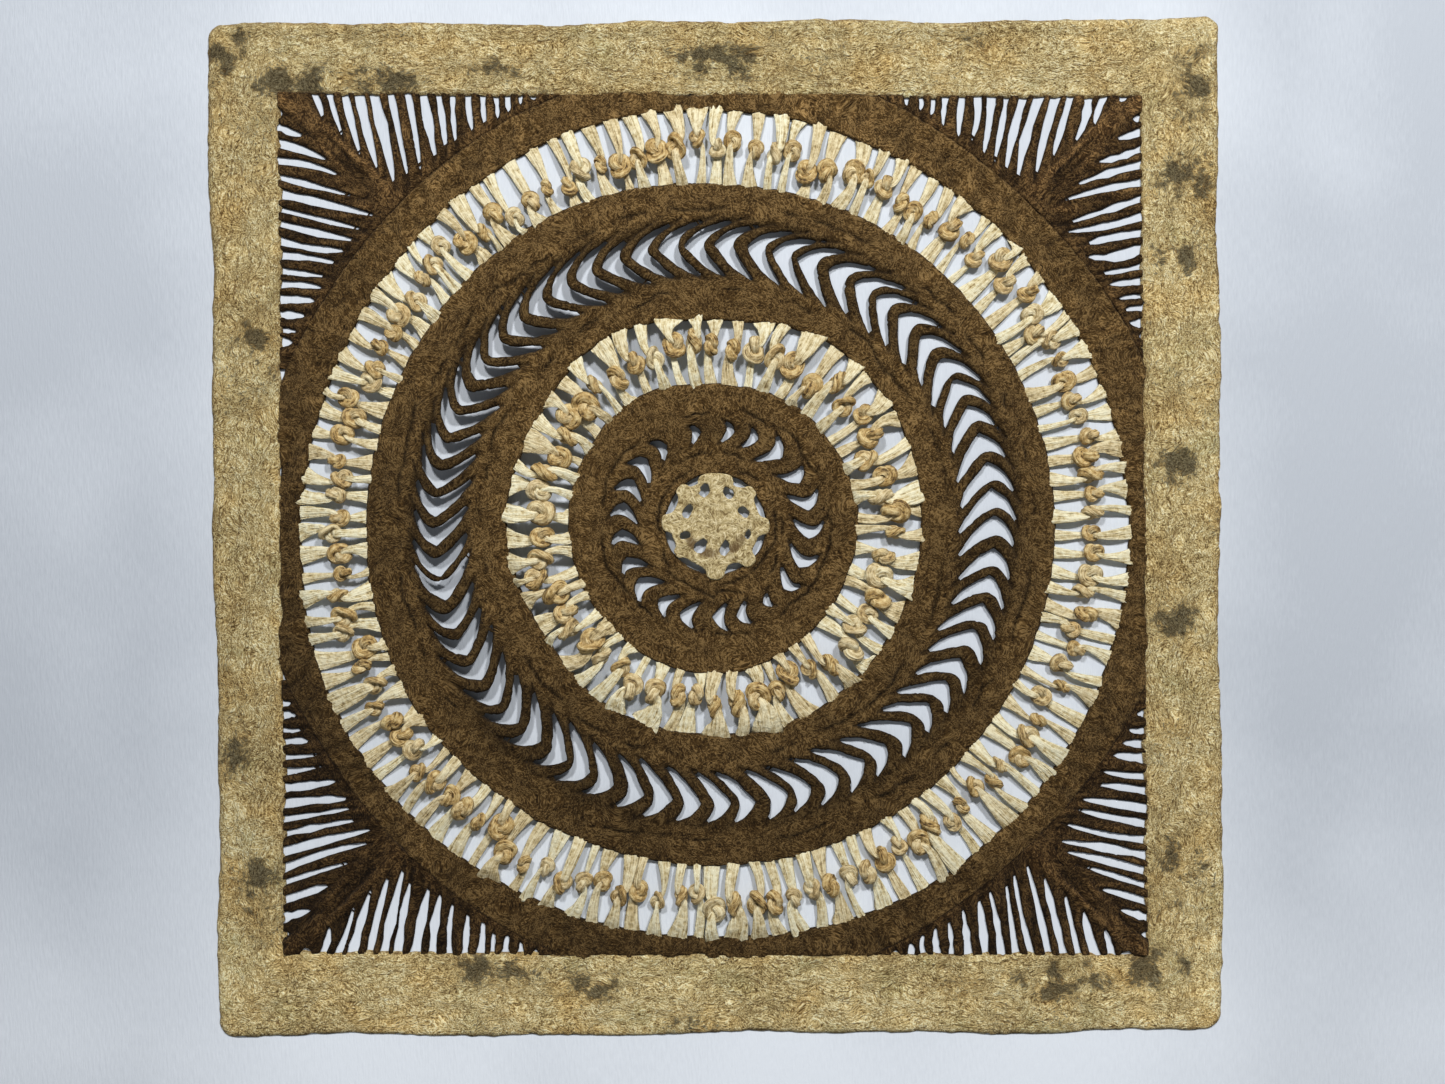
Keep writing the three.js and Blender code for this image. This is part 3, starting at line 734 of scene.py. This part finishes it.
def make_outer_ring(material):
    def region(x, y):
        r, h = polar_of(x, y)
        ragged_edge = 0.7 * layered_noise(x, y, 15, 41) + 0.4 * noise(x, y, 4, 45)
        at_border = inside_square(x, y, OPENING, 1, False) + 1.9 + 2.6 * layered_noise(x, y, 13, 42)
        outer = np.minimum(ring_outer_radius(h) - r, at_border)
        inner = r - joint_radius("ringIn", h) + OVERLAP + 1.1 * layered_noise(x, y, 18, 43)
        return np.minimum(outer, inner) + ragged_edge

    def wrinkles(x, y):
        """Short wrinkles across the ring."""
        r, h = polar_of(x, y)
        along = h * RISE_RADIUS
        return 0.8 * noise(r / 2.8, along, 2.6, 47) + 0.5 * noise(r / 2, along, 5, 48)

    def relief(x, y):
        return 0.75 * wrinkles(x, y) + 0.35 * layered_noise(x, y, 12, 49)

    def extra(x, y):
        # The tone follows the wrinkles: painted light on their crests and painted shade in their
        # troughs.
        return {"tone": brown_tone(x, y) * (1 + 0.36 * wrinkles(x, y))}

    box = ((-264, -262), (262, 264))
    return felted_paper("outer_ring_paper", region, box, PAPER["outer ring"], relief, material, extra)


def spray_gaps(corner, rng):
    """Outlines of the gaps between a spray's leaflets, on both sides of its stem."""
    tip = OPENING[corner]
    stem_length = np.linalg.norm(tip) - RING_OUT_CORNER
    outlines = []
    for neighbour in (OPENING[corner - 1], OPENING[(corner + 1) % 4]):
        along = (neighbour - tip) / np.linalg.norm(neighbour - tip)
        inward = np.array([-along[1], along[0]])
        inward *= -np.sign(inward @ tip)

        def is_open(u, v):
            px, py = tip + along * u + inward * v
            stem = mix(5.5, 9.5, min(1, (u + v) / math.sqrt(2) / stem_length)) * math.sqrt(2)
            return u - v > stem and math.hypot(px, py) > ring_outer_radius(math.atan2(px, py)) + 2.5

        u = 9 + rng.uniform(0, 3)
        while u < SPRAY_REACH:
            pitch = rng.uniform(*LEAFLET_PITCH) * (1 if u < 110 else 0.85)
            lean = mix(0.4, 0.0, u / SPRAY_REACH) + rng.normal(0, 0.03)
            v = -2.0
            while is_open(u + lean * max(v, 0), max(v, 0)) and v < LEAFLET_REACH:
                v += 0.5
            if v > 1.5:
                half = 0.5 * pitch * rng.uniform(*LEAFLET_GAP)
                deep = v - rng.uniform(0, 1.5)
                shares = np.linspace(0, 1, 7)
                bend = rng.normal(0, 1.0)
                middle = u + lean * shares * deep + bend * np.sin(shares * math.pi)
                taper = 1 - 0.25 * shares - 0.75 * shares ** 5
                width = half * taper * (1 + 0.16 * rng.normal(0, 1, len(shares)))
                down = inward * (shares * (deep + 2) - 2)[:, None]
                left = tip + along * (middle - width)[:, None] + down
                right = tip + along * (middle + width)[:, None] + down
                outlines.append(np.concatenate([left, right[-2::-1]]))
            u += pitch
    return outlines


def make_spray(name, corner, material):
    rng = np.random.default_rng(60 + corner)
    tip = OPENING[corner]
    gaps = spray_gaps(corner, rng)

    def region(x, y):
        r, h = polar_of(x, y)
        inside = inside_square(x, y, OPENING, 0.5, False) + 1.5
        depth = np.minimum(inside, r - ring_outer_radius(h) + 0.9)
        depth = carve(depth, x, y, gaps)
        return depth + 0.25 * layered_noise(x, y, 5, 51)

    def ridges(x, y):
        """Ridges along the stem and along the leaflets."""
        u, v = np.abs(x - tip[0]), np.abs(y - tip[1])
        on_stem = smooth((13 - np.abs(u - v)) / 4)
        stem = noise(u - v, (u + v) / 10, 3.2, 53) + 0.4 * noise(u - v, (u + v) / 6, 1.6, 57)
        leaflets = noise(np.maximum(u, v), np.minimum(u, v) / 9, 2.4, 54)
        return leaflets, stem, on_stem

    def relief(x, y):
        leaflets, stem, on_stem = ridges(x, y)
        return mix(0.6 * leaflets, 1.2 * stem + 0.7, on_stem) + 0.2 * layered_noise(x, y, 6, 55)

    def extra(x, y):
        leaflets, stem, on_stem = ridges(x, y)
        # The tone follows the ridges: painted light on them and painted shade in the grooves, on the
        # stem and the leaflets.
        return {"tone": brown_tone(x, y) * mix(0.9 + 0.6 * leaflets, 1.1 + 0.95 * stem, on_stem)}

    def clear_of_floor(x, y):
        return np.full_like(x, 0.12)

    near, far = np.sign(tip) * 92, tip + np.sign(tip) * 3
    box = (np.minimum(near, far), np.maximum(near, far))
    return felted_paper(name, region, box, PAPER["spray"], relief, material, extra, clear_of_floor)


def make_chevron_band(material):
    gaps = chevron_gaps(np.random.default_rng(71))

    def region(x, y):
        r, h = polar_of(x, y)
        outer = joint_radius("bandOut", h) - r + OVERLAP + layered_noise(x, y, 16, 73)
        inner = r - joint_radius("bandIn", h) + OVERLAP + layered_noise(x, y, 14, 75)
        depth = carve(np.minimum(outer, inner), x, y, gaps)
        return depth + 0.6 * layered_noise(x, y, 4.6, 77)

    relief, extra = creased((188, 138), 701, (144, 184), 0.4)
    box = ((-214, -214), (214, 214))
    return felted_paper("chevron_paper", region, box, PAPER["chevron band"], relief, material, extra)


def make_disc(material):
    rng = np.random.default_rng(81)
    gaps = [gap_outline(CRESCENT_GAP, heading, size, 0, rng)
            for heading, size in CRESCENTS.items()]

    def region(x, y):
        r, h = polar_of(x, y)
        outer = joint_radius("discOut", h) - r + OVERLAP + 0.9 * layered_noise(x, y, 13, 83)
        inner = r - DISC_HOLE + 0.8 * layered_noise(x, y, 9, 85)
        depth = carve(np.minimum(outer, inner), x, y, gaps)
        return depth + 0.4 * layered_noise(x, y, 5, 87)

    relief, extra = creased((67, 41, 35), 801, (43, 66), 0.2)
    box = ((-92, -92), (92, 92))
    return felted_paper("disc_paper", region, box, PAPER["disc"], relief, material, extra)


def make_rosette(material):
    rng = np.random.default_rng(91)
    outline = []
    for k, (turn, half, reach) in enumerate(TABS):
        after = TABS[(k + 1) % len(TABS)][0] + (360 if k == len(TABS) - 1 else 0)
        spread = math.degrees(half / reach)
        tab = [(WAIST[1], -1.5), (reach, -1), (reach, 1), (WAIST[1], 1.5)]
        outline += [at_heading(radius, math.radians(turn + spread * side)) for radius, side in tab]
        outline += [at_heading(rng.uniform(*WAIST), math.radians((turn + after) / 2))]
    outline = rounded(outline, [False] * len(outline))
    holes = []
    for turn, radius, half in HOLES:
        middle = at_heading(radius, math.radians(turn))
        around = np.linspace(0, TURN, 12, endpoint=False)
        reach = half * (1 + 0.25 * np.sin(2 * around + turn)) * rng.uniform(0.8, 1.15, 12)
        holes.append(middle + at_heading(reach, around))

    def region(x, y):
        depth = carve(-outline_distance(x, y, outline), x, y, holes)
        return depth + 0.35 * layered_noise(x, y, 4, 93)

    def extra(x, y):
        strap = np.exp(-((np.hypot(x, y) - STRAP_RADIUS) / 2.6) ** 4)
        worn = smooth(0.9 + layered_noise(x, y, 7, 95))
        return {"stain": np.clip(strap * smooth((-y - 4) / 6) * worn, 0, 0.8)}

    def relief(x, y):
        return 0.55 * layered_noise(x, y, 6, 97) + 0.2 * noise(x, y, 2, 98)

    def on_disc(x, y):
        return rise(x, y) + 2.45

    box = ((-36, -36), (36, 36))
    return felted_paper("rosette_paper", region, box, PAPER["rosette"], relief, material, extra, on_disc)


# The knotted strips

STATIONS = 58
SIDES = 14
GIRTH = 3.6  # how close the strip's own middle line comes to itself in a pulled knot
KNOT_LENGTH = 74.0
KNOT_SPAN = 36.0
KNOT_HALF = 7
UNDER = 2.2  # how far a root runs in under the brown paper
ROOT_SHARE = (0.68, 1.06)  # a root's share of the room it has
FAN_POWER = (0.8, 2.6)  # high where a root fans out late
NECK_HALF = (1.4, 2.7)


def even_steps(path, count):
    run = np.concatenate([[0], np.cumsum(np.linalg.norm(np.diff(path, axis=0), axis=1))])
    places = np.linspace(0, run[-1], count)
    return np.stack([np.interp(places, run, values) for values in path.T], axis=1), run[-1]


def overhand_path():
    """A strip's middle line, tied in an overhand knot and pulled tight along x."""
    t = np.linspace(-2.3, 2.3, 2000)
    loose = np.stack([t ** 3 - 3 * t, t ** 4 - 4 * t ** 2 + 2, t ** 5 / 5 - 2 * t], axis=1)
    path, length = even_steps(loose, STATIONS)
    path *= KNOT_LENGTH / length
    step = KNOT_LENGTH / (STATIONS - 1)
    order = np.arange(STATIONS)
    free = np.abs(order[:, None] - order) * step < 1.5 * GIRTH
    begun = path[[0, -1]].copy()
    pulled = KNOT_SPAN / 2 * np.array([(-1, 0, 0), (1, 0, 0)])
    rounds = 900
    for k in range(rounds):
        ends = mix(begun, pulled, smooth(1.3 * k / rounds))
        path[1:-1] += 0.05 * (0.5 * (path[2:] + path[:-2]) - path[1:-1])
        apart = path[:, None] - path
        distance = np.linalg.norm(apart, axis=2)
        over = np.where(free, 0, np.maximum(0, GIRTH - distance))
        push = (over / np.maximum(distance, 1e-6))[..., None] * apart
        path += 0.4 * push.sum(1) / np.maximum(1, (over > 0).sum(1))[:, None]
        for _ in range(5):
            path[[0, -1]] += 0.5 * (ends - path[[0, -1]])
            for start in (0, 1):
                pairs = (STATIONS - start) // 2
                first = slice(start, start + 2 * pairs, 2)
                second = slice(start + 1, start + 2 * pairs, 2)
                run = path[second] - path[first]
                reach = np.linalg.norm(run, axis=1, keepdims=True)
                fix = 0.5 * (reach - step) / reach * run
                path[first] += fix
                path[second] -= fix
    return path


def carried_frames(path):
    """Side and up directions along a path, both level at its ends."""
    tangent = np.gradient(path, axis=0)
    tangent /= np.linalg.norm(tangent, axis=1, keepdims=True)
    up = np.zeros_like(path)
    up[0] = (0, 0, 1)
    for k in range(1, len(path)):
        carried = up[k - 1] - tangent[k] * (up[k - 1] @ tangent[k])
        up[k] = carried / np.linalg.norm(carried)
    side = np.cross(up, tangent)
    twist = math.atan2(side[-1][2], up[-1][2])
    turn = twist * smooth((np.arange(len(path)) / len(path) - 0.3) / 0.4)[:, None]
    return side * np.cos(turn) - up * np.sin(turn), up * np.cos(turn) + side * np.sin(turn)


def knot_variants():
    """The same knot seen from several sides, and from its mirror, squashed onto the board."""
    tied = overhand_path()
    variants = []
    for turn in range(0, 360, 45):
        for mirror in (1, -1):
            c, s = math.cos(math.radians(turn)), math.sin(math.radians(turn))
            across = mirror * (c * tied[:, 1] - s * tied[:, 2])
            path = np.stack([tied[:, 0], 1.12 * across, 0.7 * (s * tied[:, 1] + c * tied[:, 2])], 1)
            in_knot = smooth(1.5 - np.abs(path[:, 0]) / 12)
            core = np.abs(path[:, 0]) < KNOT_HALF
            path[:, 1] -= path[core, 1].mean() * in_knot
            path[:, 2] += (1.7 - path[core, 2].min()) * in_knot
            variants.append((path, *carried_frames(path)))
    return variants


def root_spans(count, rng):
    """Heading and half width of every root, in pitches: wide ones and narrow ones, edge to edge."""
    edges = np.arange(count) - 0.5 + rng.uniform(-0.25, 0.25, count)
    after = np.append(edges[1:], edges[0] + count)
    return (edges + after) / 2, (after - edges) / 2


def strip_section(room, along, rng):
    """Half widths and half thicknesses along a strip, and how far it has fanned out."""
    first = along < 0
    root_half = room * np.where(first, rng.uniform(*ROOT_SHARE), rng.uniform(*ROOT_SHARE))
    fullness = np.where(first, rng.uniform(*FAN_POWER), rng.uniform(*FAN_POWER))
    fan = smooth((np.abs(along) - 0.5) / 0.5) ** fullness
    neck = rng.uniform(*NECK_HALF)
    out_of_knot = smooth((np.abs(along) - 0.36) / 0.2)
    half = mix(mix(GIRTH * 0.8, neck, out_of_knot), root_half, fan)
    thick = mix(mix(GIRTH * 0.56, 1.0, out_of_knot), 0.5, fan)
    return half, thick, fan


def strip_faces(count):
    """Quads round every strip, and a cap on each of its ends."""
    grid = np.arange(STATIONS * SIDES).reshape(STATIONS, SIDES)
    after = np.roll(grid, -1, axis=1)
    quads = np.stack([grid[:-1], grid[1:], after[1:], after[:-1]], -1).reshape(-1, 4)
    caps = [np.stack([np.full(SIDES - 2, ring[0]), ring[1:-1], ring[2:]], 1)
            for ring in (grid[0], grid[-1][::-1])]
    offsets = np.arange(count)[:, None, None] * STATIONS * SIDES
    return [(block[None, :, ::-1] + offsets).reshape(-1, block.shape[1])
            for block in (quads, *caps)]


def knotted_strips(name, count, knot_radius, outer, inner, fill, size, variants, material, seed):
    """Every strip of a course: a wide root, a pleated neck, a knot, a neck and a root."""
    rng = np.random.default_rng(seed)
    pitch = TURN / count
    around = np.arange(SIDES) / SIDES * TURN
    along = np.linspace(-1, 1, STATIONS)
    upper, lower = root_spans(count, rng), root_spans(count, rng)
    points, fibre, knot = [], [], []
    for i in range(count):
        path, side, up = variants[rng.integers(len(variants))]
        if rng.random() < 0.5:
            path, side, up = (values[::-1] * (-1, 1, 1) for values in (path, side, up))
        pleat = rng.uniform(-1, 1, SIDES)
        scale = size * rng.uniform(0.8, 1.18)
        heading = 0.5 * (upper[0][i] + lower[0][i]) * pitch
        knot_at = knot_radius + rng.normal(0, 3.0)
        roots = (joint_radius(outer, heading) + UNDER, joint_radius(inner, heading) - UNDER)
        reach = np.abs(path[:, 0])
        far = smooth((reach - KNOT_HALF) / (KNOT_SPAN / 2 - KNOT_HALF))
        half_span = KNOT_SPAN / 2 * scale
        outward = path[:, 0] < 0
        stretch = np.where(outward, roots[0] - knot_at, knot_at - roots[1]) - half_span
        radius = knot_at - path[:, 0] * scale - np.sign(path[:, 0]) * stretch * far
        turned = np.where(outward, upper[0][i], lower[0][i]) * pitch
        turned = mix(heading + rng.normal(0, 0.05) * pitch, turned, far)

        room = np.where(along < 0, upper[1][i] * roots[0], lower[1][i] * roots[1]) * pitch * fill
        half, thick, fan = strip_section(room, along, rng)
        wander = noise(along[:, None] * 5 + 30 * i, np.arange(SIDES) * 3.0, 2.0, 103)
        fluting = 1 + 0.35 * (0.5 * pleat + wander) * (1 - 0.6 * fan[:, None])
        across = np.cos(around) * half[:, None] * (1 + 0.04 * pleat)
        height = np.sin(around) * thick[:, None] * fluting + 0.14 * pleat * fan[:, None]
        crumple = noise(along[:, None] * 26 + 40 * i, np.arange(SIDES) * 3.0, 2.0, 101)
        across = across * (1 + 0.12 * crumple)
        height = height * (1 + 0.22 * crumple) + 0.35 * fan[:, None] * crumple

        local = side[:, None] * across[..., None] + up[:, None] * height[..., None]
        r = radius[:, None] - local[..., 0] * scale
        y = (path[:, 1] * scale)[:, None] + local[..., 1] * mix(scale, 1, far)[:, None]
        z = path[:, 2] * scale + 0.95 * far + rng.uniform(1.5, 5) * far * (1 - far)
        z = z[:, None] + local[..., 2] * mix(scale, 1, far)[:, None]
        flat = at_heading(r, turned[:, None] + y / r)
        z = np.maximum(z, 0.08) + rise(flat[..., 0], flat[..., 1])
        points.append(np.concatenate([flat, z[..., None]], axis=-1).reshape(-1, 3))
        run = np.stack([across, np.tile(along[:, None] * 3.6, SIDES), height + 9.7 * i], axis=-1)
        fibre.append(run.reshape(-1, 3))
        golden = np.exp(-((np.abs(along) / 0.5) ** 4)) * rng.uniform(0.65, 1.1)
        golden = golden + rng.uniform(-0.2, 0.5)
        knot.append(np.repeat(np.clip(golden, 0, 1), SIDES))

    attributes = {"fibre": np.concatenate(fibre), "knot": np.concatenate(knot)}
    return make_object(name, np.concatenate(points), strip_faces(count), material, attributes)


# Camera, light and floor

IMAGE_WIDTH, IMAGE_HEIGHT = 1445, 1084
MM_PER_PIXEL = 0.594
LACE_PIXEL = (715.5, 524.5)
VIEW_ANGLE = math.radians(56)
FLOOR_HALF = 3

# Place, size and power of each light, in metres and watts.
LIGHTS = {
    "key_light": ((0.75, 1.25, 1.75), 0.22, 31),
    "second_light": ((-0.35, 1.2, 1.6), 0.22, 22),
    "fill_light": ((0.2, -1.4, 2.4), 2.2, 4.5),
}


def make_camera():
    aim = (CENTRE[0] + (IMAGE_WIDTH / 2 - LACE_PIXEL[0]) * MM_PER_PIXEL,
           CENTRE[1] - (IMAGE_HEIGHT / 2 - LACE_PIXEL[1]) * MM_PER_PIXEL)
    data = bpy.data.cameras.new("camera")
    data.sensor_fit = "HORIZONTAL"
    data.angle = VIEW_ANGLE
    camera = add_object("camera", data)
    height = IMAGE_WIDTH * MM_PER_PIXEL / 2 / math.tan(VIEW_ANGLE / 2)
    camera.location = (aim[0] / 1000, aim[1] / 1000, height / 1000)
    bpy.context.scene.camera = camera


def make_lights():
    for name, (place, size, power) in LIGHTS.items():
        lamp = bpy.data.lights.new(name, "AREA")
        lamp.size = size
        lamp.energy = power
        lamp.color = LAMP
        made = add_object(name, lamp)
        made.location = place
        made.rotation_euler = (-Vector(place)).to_track_quat("-Z", "Y").to_euler()
    world = bpy.data.worlds.new("soft_daylight")
    world.use_nodes = True
    background = world.node_tree.nodes["Background"]
    background.inputs["Color"].default_value = SKY
    background.inputs["Strength"].default_value = 0.1
    bpy.context.scene.world = world
    bpy.context.scene.view_settings.view_transform = "Standard"


def make_floor():
    """A pale floor with a faint weave, painted shade at the panel's sides and painted light low down."""
    shader = Shader("pale_floor")
    soft = shader.noise(shader.place, 160, 2.0)
    weave = shader.noise(shader.stretched(shader.place, 0, (1, 6, 1)), 1.3, 2.0)
    place = shader.node("ShaderNodeSeparateXYZ", {0: shader.place})
    # Painted light brightens the floor towards the bottom, and painted shade darkens it at the panel's
    # sides, fading off away from the panel.
    painted_light_lower = shader.fade(place.outputs["Y"], -120, -310, 0.0, 0.45)
    painted_shade_sides = shader.fade(shader.maths("ABSOLUTE", place.outputs["X"]), 260, 340, 0.0, -0.3)
    near = shader.fade(shader.maths("ABSOLUTE", place.outputs["Y"]), 330, 600, 1.0, 0.0)
    painted_shade_sides = shader.maths("MULTIPLY", painted_shade_sides, near)
    level = shader.total((soft, 0.6), (weave, 0.25), (painted_light_lower, 1.0), (painted_shade_sides, 1.0))
    colour = shader.ramp(level, FLOOR)
    shader.finish(colour, weave, 0.0003, 0.7)
    mesh = bpy.data.meshes.new("floor")
    corners = [(FLOOR_HALF * x, FLOOR_HALF * y, 0) for x, y in ((-1, -1), (1, -1), (1, 1), (-1, 1))]
    mesh.from_pydata(corners, [], [(0, 1, 2, 3)])
    mesh.materials.append(shader.material)
    floor = add_object("floor", mesh)


def put(piece, node):
    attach(piece, "root")
    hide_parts(node)
    return piece


make_camera()
make_lights()
make_floor()
tan = tan_material()
brown = brown_material("brown_paper", BROWN)
dark_brown = brown_material("dark_brown_paper", DARK_BROWN)
cream = cream_material()

border = put(make_border(tan), "border")
ring = put(make_outer_ring(brown), "outer_ring")
SPRAYS = ("spray_top_left", "spray_top_right", "spray_bottom_right", "spray_bottom_left")
for corner, node in enumerate(SPRAYS):
    spray = put(make_spray(node + "_paper", corner, dark_brown), node)
band = put(make_chevron_band(brown), "chevron_band")
disc = put(make_disc(brown), "centre_disc")
rosette = put(make_rosette(rosette_material()), "rosette")

variants = knot_variants()
outer_course = knotted_strips("outer_knotted_strips", OUTER_STRIPS, OUTER_KNOTS, "ringIn", "bandOut",
                              0.9, 0.91, variants, cream, 201)
put(outer_course, "outer_knotted_course")
inner_course = knotted_strips("inner_knotted_strips", INNER_STRIPS, INNER_KNOTS, "bandIn", "discOut",
                              0.92, 0.98, variants, cream, 211)
put(inner_course, "inner_knotted_course")
